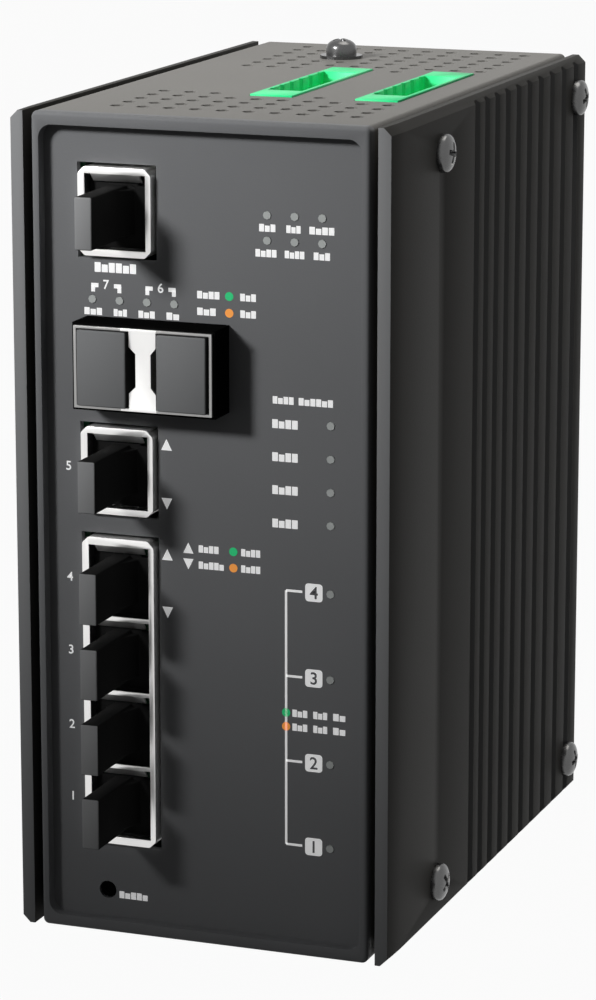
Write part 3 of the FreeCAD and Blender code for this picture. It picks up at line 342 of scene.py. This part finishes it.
half_width = box_of("right_heat_sink")[1].x
case_height = box_of("chassis_shell")[1].z
panel_y = box_of("front_panel")[0].y


def add_piece(name, mesh_or_bmesh, finishes, body=BODY):
    """A finished object at the origin that rides on a body."""
    if isinstance(mesh_or_bmesh, bmesh.types.BMesh):
        mesh = bpy.data.meshes.new(name)
        mesh_or_bmesh.to_mesh(mesh)
        mesh_or_bmesh.free()
    else:
        mesh = mesh_or_bmesh
    mesh.name = name
    mesh.materials.clear()
    for finish in finishes:
        mesh.materials.append(finish)
    piece = bpy.data.objects.new(name, mesh)
    scene.collection.objects.link(piece)
    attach(piece, body)
    return piece


# ---- edges that catch the light ----


def upright_corners(low, high, least, near):
    """Picks the edges along Y, longer than the least, near the corners of a box."""

    def wanted(edge):
        ends = [vert.co / MM for vert in edge.verts]
        along = abs(ends[0].y - ends[1].y) > least and abs(ends[0].x - ends[1].x) < 0.01
        middle = (ends[0] + ends[1]) / 2
        off_x = min(middle.x - low.x, high.x - middle.x)
        off_z = min(middle.z - low.z, high.z - middle.z)
        return along and off_x < near and off_z < near

    return wanted


def merged_copy(node):
    """The node's mesh as a bmesh, with its loose triangles joined into flat faces."""
    form = bmesh.new()
    form.from_mesh(nodes[node].data)
    bmesh.ops.remove_doubles(form, verts=form.verts, dist=0.002 * MM)
    bmesh.ops.dissolve_limit(form, angle_limit=math.radians(0.5), verts=form.verts, edges=form.edges)
    return form


def softened(name, node, finish, width, segments=2, corner=None, reach=(5, 1.5), body=BODY):
    """A copy of the node with its sharp edges rounded. It stands for the node."""
    form = merged_copy(node)
    if corner:
        wanted = upright_corners(*box_of(node), *reach)
        edges = [edge for edge in form.edges if wanted(edge)]
        bmesh.ops.bevel(
            form, geom=edges, offset=corner * MM, segments=4, profile=0.5, affect="EDGES", clamp_overlap=True
        )
    mesh = bpy.data.meshes.new(name)
    form.to_mesh(mesh)
    form.free()
    piece = bpy.data.objects.new(name, mesh)
    scene.collection.objects.link(piece)
    bevel = piece.modifiers.new("edge", "BEVEL")
    bevel.width = width * MM
    bevel.segments = segments
    bevel.limit_method = "ANGLE"
    bevel.angle_limit = math.radians(32)
    bevel.use_clamp_overlap = True
    plain = applied(piece)
    plain.materials.clear()
    plain.materials.append(finish)
    smooth(plain)
    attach(piece, body)
    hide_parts(node)
    return piece


def applied(piece):
    """Turns the piece with its modifiers into a plain mesh, which it then holds."""
    graph = bpy.context.evaluated_depsgraph_get()
    plain = bpy.data.meshes.new_from_object(piece.evaluated_get(graph))
    piece.modifiers.clear()
    piece.data = plain
    return plain


def smooth(mesh, angle=38):
    for face in mesh.polygons:
        face.use_smooth = True
    mesh.set_sharp_from_angle(angle=math.radians(angle))


def soft_edges():
    softened("front_rim", "front_frame", COATED, 0.3, corner=0.8, reach=(1, 8))
    for number in range(1, 6):
        softened(f"port_{number}_stopper", f"port_{number}_dust_plug", STOPPER, 0.3)
    softened("console_stopper", "console_dust_plug", STOPPER, 0.3)
    for side in ("left", "right"):
        softened(f"cage_stopper_{side}", f"sfp_plug_{side}", CAGE_STOPPER, 0.3)
    for jack in ("console", "single", "gang"):
        softened(f"{jack}_shield", f"{jack}_jack_shell", SHIELD, 0.13, corner=0.9)
    softened("module_cage", "sfp_cage", CAGE, 0.12)
    softened("alarm_header_body", "alarm_header", HEADER, 0.15)
    softened("power_header_body", "power_header", HEADER, 0.15)
    for side in ("left", "right"):
        softened(f"{side}_sink_plate", f"{side}_heat_sink", SINK, 0.4, segments=3)


# ---- screws ----


class Tree:
    """A Geometry Nodes tree, with named inputs and nodes made in one call each."""

    def __init__(self, name, sockets):
        self.group = bpy.data.node_groups.new(name, "GeometryNodeTree")
        self.keys = {}
        self.group.interface.new_socket("Geometry", in_out="INPUT", socket_type="NodeSocketGeometry")
        for label, kind, value in sockets:
            made = self.group.interface.new_socket(label, in_out="INPUT", socket_type=kind)
            if value is not None:
                made.default_value = value
            self.keys[label] = made.identifier
        self.group.interface.new_socket("Geometry", in_out="OUTPUT", socket_type="NodeSocketGeometry")
        self.given = self.group.nodes.new("NodeGroupInput")

    def size(self, label):
        return Wire(self, self.given.outputs[label])

    def add(self, kind, settings=None, inputs=None, out=0):
        made = self.group.nodes.new(kind)
        for name, value in (settings or {}).items():
            setattr(made, name, value)
        for name, value in (inputs or {}).items():
            for one in value if isinstance(value, list) else [value]:
                if isinstance(one, Wire):
                    self.group.links.new(one.socket, made.inputs[name])
                else:
                    made.inputs[name].default_value = one
        return Wire(self, made.outputs[out])

    def done(self, geometry):
        end = self.group.nodes.new("NodeGroupOutput")
        self.group.links.new(geometry.socket, end.inputs[0])
        return self


def below(tree, value, limit):
    """1 where the value's distance from nought is under the limit."""
    distance = tree.add("ShaderNodeMath", {"operation": "ABSOLUTE"}, {0: value})
    return tree.add("ShaderNodeMath", {"operation": "LESS_THAN"}, {0: distance, 1: limit})


CROSS_HALF_WIDTH = 0.12  # of the head's radius, as is the length
CROSS_HALF_LENGTH = 0.55
RIM_SHARE = 0.4  # of the head's height


def screw_tree():
    """Pan head screws at the vertices: a domed head with a cross recess, and its shank."""
    tree = Tree(
        "pan_head_screws",
        [
            ("Radius", "NodeSocketFloat", 3.5 * MM),
            ("Height", "NodeSocketFloat", 2.2 * MM),
            ("Recess", "NodeSocketFloat", 1.1 * MM),
            ("Shank Radius", "NodeSocketFloat", 1.7 * MM),
            ("Shank Length", "NodeSocketFloat", 8.0 * MM),
            ("Turn", "NodeSocketVector", (0, 0, 0)),
            ("Finish", "NodeSocketMaterial", None),
        ],
    )
    radius, height = tree.size("Radius"), tree.size("Height")
    spread = {"Size X": 2.0, "Size Y": 2.0, "Vertices X": 29, "Vertices Y": 29}
    grid = tree.add("GeometryNodeMeshGrid", {}, spread)
    place = tree.add("GeometryNodeInputPosition")
    across = tree.add("ShaderNodeSeparateXYZ", {}, {0: place}, out=0)
    along = tree.add("ShaderNodeSeparateXYZ", {}, {0: place}, out=1)
    round_x = across * (1 - along * along * 0.5) ** 0.5
    round_y = along * (1 - across * across * 0.5) ** 0.5
    inside = tree.add("ShaderNodeMath", {"operation": "MAXIMUM"}, {0: 1 - round_x**2 - round_y**2, 1: 0.0})
    arm = (CROSS_HALF_WIDTH, CROSS_HALF_LENGTH)
    arms = [below(tree, across, a) * below(tree, along, b) for a, b in (arm, arm[::-1])]
    cross = tree.add("ShaderNodeMath", {"operation": "MAXIMUM"}, {0: arms[0], 1: arms[1]})
    crown = height * (RIM_SHARE + (1 - RIM_SHARE) * inside**0.5) - tree.size("Recess") * cross
    level = {"X": round_x * radius, "Y": round_y * radius}
    top_place = tree.add("ShaderNodeCombineXYZ", {}, {**level, "Z": crown})
    top = tree.add("GeometryNodeSetPosition", {}, {"Geometry": grid, "Position": top_place})
    seat_place = tree.add("ShaderNodeCombineXYZ", {}, {**level, "Z": 0.0})
    seat = tree.add("GeometryNodeSetPosition", {}, {"Geometry": grid, "Position": seat_place})
    seat = tree.add("GeometryNodeFlipFaces", {}, {"Mesh": seat})
    faces = tree.add("GeometryNodeInputMeshEdgeNeighbors")
    rim = tree.add("FunctionNodeCompare", {"data_type": "INT", "operation": "EQUAL"}, {2: faces, 3: 1})
    drop = tree.add("ShaderNodeCombineXYZ", {}, {"Z": height * -RIM_SHARE})
    wall = tree.add(
        "GeometryNodeExtrudeMesh",
        {"mode": "EDGES"},
        {"Mesh": top, "Selection": rim, "Offset": drop, "Offset Scale": 1.0},
    )
    shank = tree.add(
        "GeometryNodeMeshCylinder",
        {},
        {"Vertices": 16, "Radius": tree.size("Shank Radius"), "Depth": tree.size("Shank Length")},
    )
    sunk = tree.add("ShaderNodeCombineXYZ", {}, {"Z": tree.size("Shank Length") * -0.5})
    shank = tree.add("GeometryNodeTransform", {}, {"Geometry": shank, "Translation": sunk})
    head = tree.add("GeometryNodeJoinGeometry", {}, {0: [wall, seat]})
    head = tree.add("GeometryNodeMergeByDistance", {}, {"Geometry": head, "Distance": 0.001 * MM})
    screw = tree.add("GeometryNodeJoinGeometry", {}, {0: [head, shank]})
    turns = {"Min": 0.0, "Max": 3.0, "Seed": 7}
    spin = tree.add("FunctionNodeRandomValue", {"data_type": "FLOAT"}, turns, out=1)
    spin = tree.add("ShaderNodeCombineXYZ", {}, {"Z": spin})
    placed = tree.add(
        "GeometryNodeInstanceOnPoints",
        {},
        {"Points": tree.size("Geometry"), "Instance": screw, "Rotation": tree.size("Turn")},
    )
    turned = tree.add("GeometryNodeRotateInstances", {}, {"Instances": placed, "Rotation": spin})
    real = tree.add("GeometryNodeRealizeInstances", {}, {"Geometry": turned})
    finished = {"Geometry": real, "Material": tree.size("Finish")}
    return tree.done(tree.add("GeometryNodeSetMaterial", {}, finished))


def screws(tree, name, node, places, turn, sizes, finish):
    """Detailed screws for a node of plain ones. A place is a head's seat, in millimetres."""
    mesh = bpy.data.meshes.new(name)
    mesh.from_pydata([tuple(c * MM for c in place) for place in places], [], [])
    piece = bpy.data.objects.new(name, mesh)
    scene.collection.objects.link(piece)
    modifier = piece.modifiers.new("screws", "NODES")
    modifier.node_group = tree.group
    for label, value in sizes.items():
        modifier[tree.keys[label]] = value * MM
    modifier[tree.keys["Turn"]] = tuple(math.radians(angle) for angle in turn)
    modifier[tree.keys["Finish"]] = finish
    plain = applied(piece)
    smooth(plain, 35)
    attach(piece, BODY)
    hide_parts(node)


def all_screws():
    tree = screw_tree()
    low, high = box_of("right_sink_screws")
    radius, height = 3.5, high.x - half_width
    rows = [(y, z) for y in (low.y + radius, high.y - radius) for z in (low.z + radius, high.z - radius)]
    sizes = {
        "Radius": radius,
        "Height": height,
        "Recess": 1.1,
        "Shank Radius": 1.7,
        "Shank Length": half_width - low.x,
    }
    for side, name in ((1, "right_sink_screws"), (-1, "left_sink_screws")):
        places = [(side * half_width, y, z) for y, z in rows]
        screws(tree, f"{name}_cross", name, places, (0, side * 90, 0), sizes, BLACKENED)

    low, high = box_of("ground_screw")
    radius = (high.x - low.x) / 2
    seat = box_of("ground_washer")[1].z
    sizes = {
        "Radius": radius,
        "Height": high.z - seat,
        "Recess": 1.4,
        "Shank Radius": 2.0,
        "Shank Length": seat - low.z,
    }
    middle = (low + high) / 2
    places = [(middle.x, middle.y, seat)]
    screws(tree, "ground_screw_cross", "ground_screw", places, (0, 0, 0), sizes, BLACKENED)

    low, high = box_of("rail_bracket_screws")
    radius, height = 2.6, 1.8
    sides = (low.x + radius, high.x - radius)
    levels = (low.z + radius, high.z - radius)
    places = [(x, high.y - height, z) for x in sides for z in levels]
    sizes = {
        "Radius": radius,
        "Height": height,
        "Recess": 0.9,
        "Shank Radius": 1.5,
        "Shank Length": high.y - height - low.y,
    }
    node = "rail_bracket_screws"
    screws(tree, f"{node}_cross", node, places, (-90, 0, 0), sizes, PLATED)


# ---- print ----


class Print:
    """Flat marks on the front panel. A place is (millimetres from the left side, from the top)."""

    LIFT = 0.03
    TURNS = 20

    def __init__(self, lift=1.0):
        self.form = bmesh.new()
        self.y = panel_y - self.LIFT * lift

    def corner(self, x, down):
        return self.form.verts.new(((x - half_width) * MM, self.y * MM, (case_height - down) * MM))

    def outline(self, places):
        """One face from its corners, anticlockwise as seen from the front."""
        self.form.faces.new([self.corner(x, down) for x, down in places])

    def bar(self, left, right, down, thick):
        top, low = down - thick / 2, down + thick / 2
        self.outline([(left, low), (right, low), (right, top), (left, top)])

    def upright(self, x, top, low, thick):
        self.bar(x - thick / 2, x + thick / 2, (top + low) / 2, low - top)

    def word(self, left, right, down, tall):
        """A light field for a word: short strokes of about a letter's width."""
        count = max(2, round((right - left) / (tall * 0.8)))
        step = (right - left) / count
        for index in range(count):
            start = left + index * step
            full = tall if index % 3 != 1 else tall * 0.8
            self.bar(start, start + step * 0.86, down + (tall - full) / 2, full)

    def disc(self, x, down, radius):
        turns = [2 * math.pi * n / self.TURNS for n in range(self.TURNS)]
        self.outline([(x + radius * math.cos(t), down - radius * math.sin(t)) for t in turns])

    def triangle(self, x, down, side, points_up):
        tip = down - side / 2 if points_up else down + side / 2
        base = down + side / 2 if points_up else down - side / 2
        ends = [(x - side / 2, base), (x + side / 2, base), (x, tip)]
        self.outline(ends if points_up else [ends[2], ends[1], ends[0]])

    def rounded_square(self, x, down, side, radius):
        inner = side / 2 - radius
        places = []
        for quarter, (right, up) in enumerate(((1, 1), (-1, 1), (-1, -1), (1, -1))):
            for n in range(5):
                turn = math.pi / 2 * (quarter + n / 4)
                across = x + right * inner + radius * math.cos(turn)
                places.append((across, down - up * inner - radius * math.sin(turn)))
        self.outline(places)

    def digit(self, number, x, down, tall):
        """A plain digit in the default face, flattened to a mesh first."""
        text = bpy.data.curves.new("digit", "FONT")
        text.body = str(number)
        text.size = tall / 0.72
        text.align_x = "CENTER"
        text.align_y = "CENTER"
        text.offset = 0.02 * tall
        holder = bpy.data.objects.new("digit", text)
        scene.collection.objects.link(holder)
        graph = bpy.context.evaluated_depsgraph_get()
        flat = bpy.data.meshes.new_from_object(holder.evaluated_get(graph))
        bpy.data.objects.remove(holder)
        low_x = min(v.co.x for v in flat.vertices)
        high_x = max(v.co.x for v in flat.vertices)
        low_y = min(v.co.y for v in flat.vertices)
        high_y = max(v.co.y for v in flat.vertices)
        middle = Vector(((low_x + high_x) / 2, (low_y + high_y) / 2, 0))
        corners = [
            self.corner(x + v.co.x - middle.x, down - v.co.y + middle.y) for v in flat.vertices
        ]
        for face in flat.polygons:
            self.form.faces.new([corners[n] for n in face.vertices])
        bpy.data.meshes.remove(flat)

    def done(self, name, finish, slot="grey_coat"):
        for face in self.form.faces:
            face.normal_update()
            if face.normal.y > 0:
                face.normal_flip()
        return add_piece(name, self.form, [finish])


LETTER = 1.35
DOT = 0.8
JACK_NUMBERS = ((5, 64.6), (4, 85.3), (3, 99.1), (2, 113.3), (1, 127.1))
FEED_ROWS = (84.2, 100.05, 115.9, 131.7)


def white_print():
    mark = Print()
    # under the console jack
    mark.word(15.3, 23.5, 27.8, 1.75)
    # over the cage: lamps' names, and a broken arch over each pair with the bay's number
    for left, right in ((13.2, 16.8), (18.9, 21.6), (23.7, 27.0), (29.1, 31.7)):
        mark.word(left, right, 35.85, 1.3)
    for middle, number in ((17.5, 7), (28.0, 6)):
        for side in (-1, 1):
            mark.bar(*sorted((middle + side * 1.5, middle + side * 2.9)), 31.1, 0.75)
            mark.upright(middle + side * 2.55, 31.1, 32.3, 0.75)
        mark.digit(number, middle, 30.9, 1.7)
    # what the cage's lamps mean
    for left, right, down in ((35.0, 39.4, 31.6), (43.2, 46.3, 31.6), (35.0, 38.7, 34.6), (43.2, 46.3, 34.6)):
        mark.word(left, right, down, LETTER)
    # jack numbers, and the lamp marks beside the jacks
    for number, down in JACK_NUMBERS:
        mark.digit(number, 9.7, down, 1.7)
    for down, points_up in ((59.3, True), (70.2, False), (79.6, True), (90.4, False)):
        mark.triangle(28.9, down, 2.1, points_up)
    for down, points_up, right in ((78.0, True, 39.0), (81.0, False, 40.0)):
        mark.triangle(33.0, down, 2.0, points_up)
        mark.word(35.0, right, down, LETTER)
        mark.word(43.2, 47.0, down, LETTER)
    # names of the six status lamps
    for left, right in ((46.8, 50.0), (51.9, 54.7), (56.2, 61.0)):
        mark.word(left, right, 18.95, LETTER)
    for left, right in ((46.1, 50.2), (51.6, 55.4), (57.0, 60.2)):
        mark.word(left, right, 23.45, LETTER)
    # the four steps of the feed budget
    mark.word(49.3, 53.4, 49.6, LETTER)
    mark.word(54.2, 60.8, 49.6, LETTER)
    for down in (53.9, 59.9, 65.9, 72.0):
        mark.word(49.2, 54.2, down, 1.6)
    # the bracket that joins the feeding jacks
    spine, reach, line = 51.8, 54.9, 0.45
    mark.upright(spine, FEED_ROWS[0], FEED_ROWS[3], line)
    for down in FEED_ROWS:
        mark.bar(spine, reach, down, line)
        mark.rounded_square(57.1, down, 3.3, 0.6)
    for down in (106.9, 109.5):
        for left, right in ((53.0, 56.0), (57.0, 59.8), (60.8, 63.3)):
            mark.word(left, right, down, LETTER)
    # reset
    mark.word(18.8, 24.6, 145.3, LETTER)
    return mark.done("white_marks", WHITE_INK)


def coloured_print():
    green, orange, dark = Print(), Print(), Print(lift=2.0)
    for x, down in ((41.1, 31.6), (41.7, 78.0), (51.8, 106.9)):
        green.disc(x, down, DOT)
    for x, down in ((41.1, 34.6), (41.7, 81.0), (51.8, 109.5)):
        orange.disc(x, down, DOT)
    for number, down in zip((4, 3, 2, 1), FEED_ROWS):
        dark.digit(number, 57.1, down, 2.3)
    green.done("green_dots", GREEN_INK)
    orange.done("orange_dots", ORANGE_INK)
    dark.done("square_numbers", DARK_INK)


# ---- light and camera ----


def aimed(name, lamp, location, target):
    """Puts a lamp at its place, pointing at the target."""
    holder = bpy.data.objects.new(name, lamp)
    scene.collection.objects.link(holder)
    holder.location = location
    holder.rotation_euler = (Vector(target) - Vector(location)).to_track_quat("-Z", "Y").to_euler()


def spot_light(name, watts, cone, radius, location, target):
    """A round lamp whose light fades out softly towards the edge of its cone."""
    lamp = bpy.data.lights.new(name, "SPOT")
    lamp.energy = watts
    lamp.spot_size = math.radians(cone)
    lamp.spot_blend = 1.0
    lamp.shadow_soft_size = radius
    aimed(name, lamp, location, target)


def area_light(name, watts, size, location, target, colour=(1, 1, 1)):
    lamp = bpy.data.lights.new(name, "AREA")
    lamp.energy = watts
    lamp.shape = "RECTANGLE"
    lamp.size, lamp.size_y = size
    lamp.color = colour
    aimed(name, lamp, location, target)


def white_share(finish):
    """1 for the rays that see the plain background: the camera's, mirrored and transmitted ones."""
    share = finish.add("ShaderNodeLightPath", out="Is Camera Ray")
    for kind in ("Is Glossy Ray", "Is Transmission Ray"):
        ray = finish.add("ShaderNodeLightPath", out=kind)
        share = finish.add("ShaderNodeMath", {"operation": "MAXIMUM"}, {0: share, 1: ray})
    return share


class Surroundings(Finish):
    """The world's node tree."""

    def __init__(self, name):
        self.world = bpy.data.worlds.new(name)
        self.world.use_nodes = True
        self.tree = self.world.node_tree
        self.tree.nodes.clear()


AMBIENT = 0.115
FLOOR_REACH = 6.0
FLOOR_WHITENESS = 0.96
WARM = (1.0, 0.97, 0.92)


def studio():
    spot_light("key", 46.0, 23, radius=0.1, location=(-0.42, -0.62, 0.5), target=(-0.07, -0.06, 0.218))
    area_light("overhead", 2.9, (0.5, 0.5), location=(0.1, 0.2, 0.95), target=(0, 0.02, 0.15), colour=WARM)

    around = Surroundings("studio")
    scene.world = around.world
    white = white_share(around)
    strength = AMBIENT + white * (1 - AMBIENT)
    background = around.add("ShaderNodeBackground", {}, {"Color": (1, 1, 1, 1), "Strength": strength})
    around.end("ShaderNodeOutputWorld", background)

    form = bmesh.new()
    for right, back in ((-1, -1), (1, -1), (1, 1), (-1, 1)):
        form.verts.new((right * FLOOR_REACH, back * FLOOR_REACH, 0))
    form.faces.new(form.verts)
    mesh = bpy.data.meshes.new("floor")
    form.to_mesh(mesh)
    form.free()
    floor = bpy.data.objects.new("floor", mesh)
    scene.collection.objects.link(floor)
    floor.data.materials.append(white_floor())


def white_floor():
    """White to the camera and to mirrors, but for a trace of the object's shadow."""
    finish = Finish("studio_floor")
    paper = finish.add("ShaderNodeBsdfDiffuse", {}, {"Color": (0.09, 0.09, 0.09, 1)})
    white = finish.add("ShaderNodeEmission", {}, {"Color": (1, 1, 1, 1), "Strength": 1.0})
    share = white_share(finish) * FLOOR_WHITENESS
    mixed = finish.add("ShaderNodeMixShader", {}, {0: share, 1: paper, 2: white})
    finish.end("ShaderNodeOutputMaterial", mixed)
    return finish.material


CAMERA_PLACE = (0.2538, -0.6888, 0.2414)
CAMERA_TURN = math.radians(20.45)
CAMERA_RISE = math.radians(13.077)


def camera():
    lens = bpy.data.cameras.new("camera")
    lens.lens = 140.5
    lens.sensor_width = 36
    lens.clip_start, lens.clip_end = 0.05, 20
    holder = bpy.data.objects.new("camera", lens)
    scene.collection.objects.link(holder)
    level = math.cos(CAMERA_RISE)
    back = Vector((math.sin(CAMERA_TURN) * level, -math.cos(CAMERA_TURN) * level, math.sin(CAMERA_RISE)))
    holder.location = CAMERA_PLACE
    holder.rotation_mode = "QUATERNION"
    holder.rotation_quaternion = (-back).to_track_quat("-Z", "Y")
    scene.camera = holder


soft_edges()
all_screws()
white_print()
coloured_print()
studio()
camera()
scene.view_settings.view_transform = "Standard"
